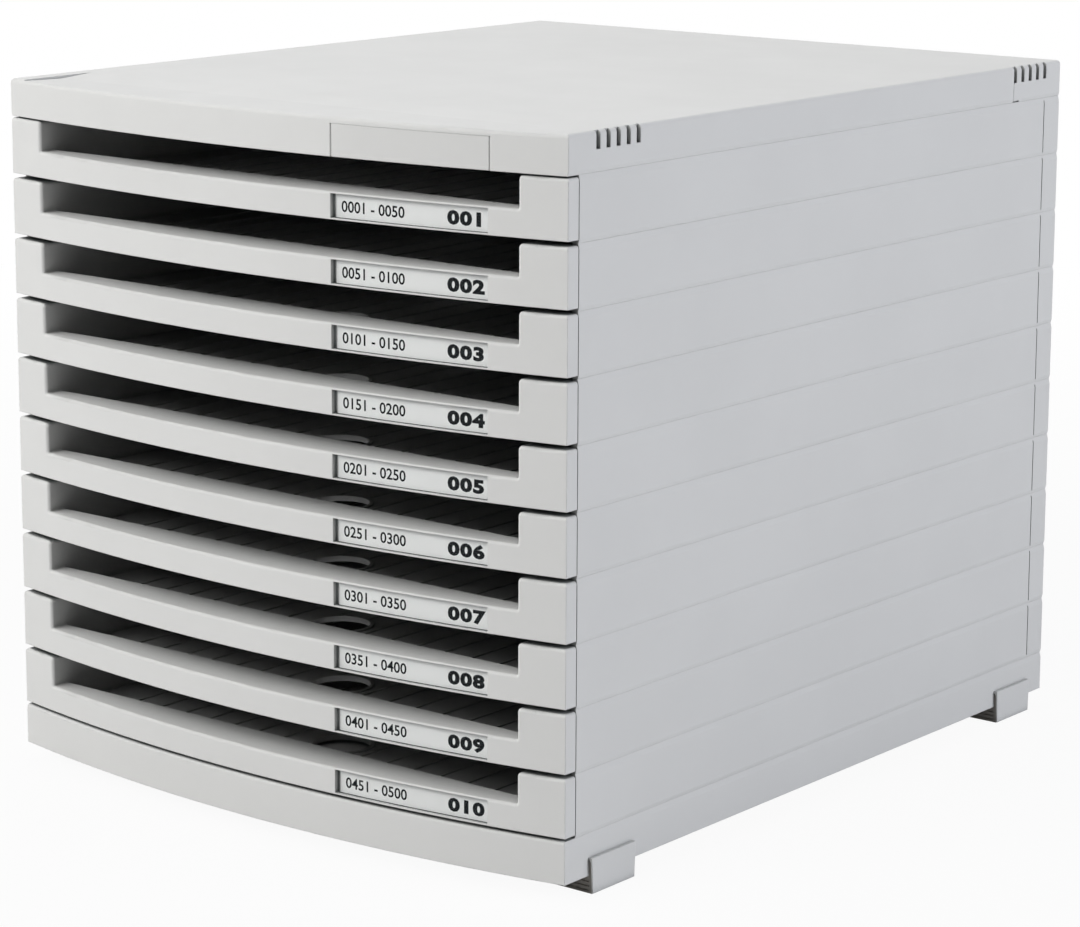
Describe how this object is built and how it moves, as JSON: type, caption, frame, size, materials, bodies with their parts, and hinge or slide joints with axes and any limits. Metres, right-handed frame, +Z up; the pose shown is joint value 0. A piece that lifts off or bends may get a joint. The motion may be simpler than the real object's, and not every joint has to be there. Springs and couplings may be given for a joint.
{
  "type": "desktop drawer organizer",
  "caption": "Desktop storage for craft stamps and sheets: shallow open-front drawers slide in a stack of moulded frames between a base with rubber feet and a slotted cover.",
  "frame": {"origin": "middle of the footprint, on the surface that the feet stand on", "axes": "+Z up, drawer fronts face -Y, +X to the right seen from the front"},
  "size_m": [0.2856, 0.3502, 0.2809],
  "materials": {
    "housing_plastic": "light grey, satin",
    "drawer_plastic": "light grey, satin",
    "card": "smooth white card",
    "clear_window": "clear, gloss",
    "foot_rubber": "matt black"
  },
  "bodies": {
    "housing": {"base": "housing_plastic", "cover": "housing_plastic", "tier_frame_01": "housing_plastic", "tier_frame_02": "housing_plastic", "tier_frame_03": "housing_plastic", "tier_frame_04": "housing_plastic", "tier_frame_05": "housing_plastic", "tier_frame_06": "housing_plastic", "tier_frame_07": "housing_plastic", "tier_frame_08": "housing_plastic", "tier_frame_09": "housing_plastic", "tier_frame_10": "housing_plastic", "foot_clip_front_right": "housing_plastic", "foot_pad_front_right": "foot_rubber", "foot_clip_front_left": "housing_plastic", "foot_pad_front_left": "foot_rubber", "foot_clip_rear_right": "housing_plastic", "foot_pad_rear_right": "foot_rubber", "foot_clip_rear_left": "housing_plastic", "foot_pad_rear_left": "foot_rubber"},
    "tray_01": {"drawer_01": "drawer_plastic", "label_card_01": "card", "label_window_01": "clear_window"},
    "tray_02": {"drawer_02": "drawer_plastic", "label_card_02": "card", "label_window_02": "clear_window"},
    "tray_03": {"drawer_03": "drawer_plastic", "label_card_03": "card", "label_window_03": "clear_window"},
    "tray_04": {"drawer_04": "drawer_plastic", "label_card_04": "card", "label_window_04": "clear_window"},
    "tray_05": {"drawer_05": "drawer_plastic", "label_card_05": "card", "label_window_05": "clear_window"},
    "tray_06": {"drawer_06": "drawer_plastic", "label_card_06": "card", "label_window_06": "clear_window"},
    "tray_07": {"drawer_07": "drawer_plastic", "label_card_07": "card", "label_window_07": "clear_window"},
    "tray_08": {"drawer_08": "drawer_plastic", "label_card_08": "card", "label_window_08": "clear_window"},
    "tray_09": {"drawer_09": "drawer_plastic", "label_card_09": "card", "label_window_09": "clear_window"},
    "tray_10": {"drawer_10": "drawer_plastic", "label_card_10": "card", "label_window_10": "clear_window"}
  },
  "joints": [
    {"name": "drawer_slide_01", "type": "slide", "parent": "housing", "child": "tray_01", "axis": [0, -1, 0], "range_m": [0, 0.25]},
    {"name": "drawer_slide_02", "type": "slide", "parent": "housing", "child": "tray_02", "axis": [0, -1, 0], "range_m": [0, 0.25]},
    {"name": "drawer_slide_03", "type": "slide", "parent": "housing", "child": "tray_03", "axis": [0, -1, 0], "range_m": [0, 0.25]},
    {"name": "drawer_slide_04", "type": "slide", "parent": "housing", "child": "tray_04", "axis": [0, -1, 0], "range_m": [0, 0.25]},
    {"name": "drawer_slide_05", "type": "slide", "parent": "housing", "child": "tray_05", "axis": [0, -1, 0], "range_m": [0, 0.25]},
    {"name": "drawer_slide_06", "type": "slide", "parent": "housing", "child": "tray_06", "axis": [0, -1, 0], "range_m": [0, 0.25]},
    {"name": "drawer_slide_07", "type": "slide", "parent": "housing", "child": "tray_07", "axis": [0, -1, 0], "range_m": [0, 0.25]},
    {"name": "drawer_slide_08", "type": "slide", "parent": "housing", "child": "tray_08", "axis": [0, -1, 0], "range_m": [0, 0.25]},
    {"name": "drawer_slide_09", "type": "slide", "parent": "housing", "child": "tray_09", "axis": [0, -1, 0], "range_m": [0, 0.25]},
    {"name": "drawer_slide_10", "type": "slide", "parent": "housing", "child": "tray_10", "axis": [0, -1, 0], "range_m": [0, 0.25]}
  ]
}
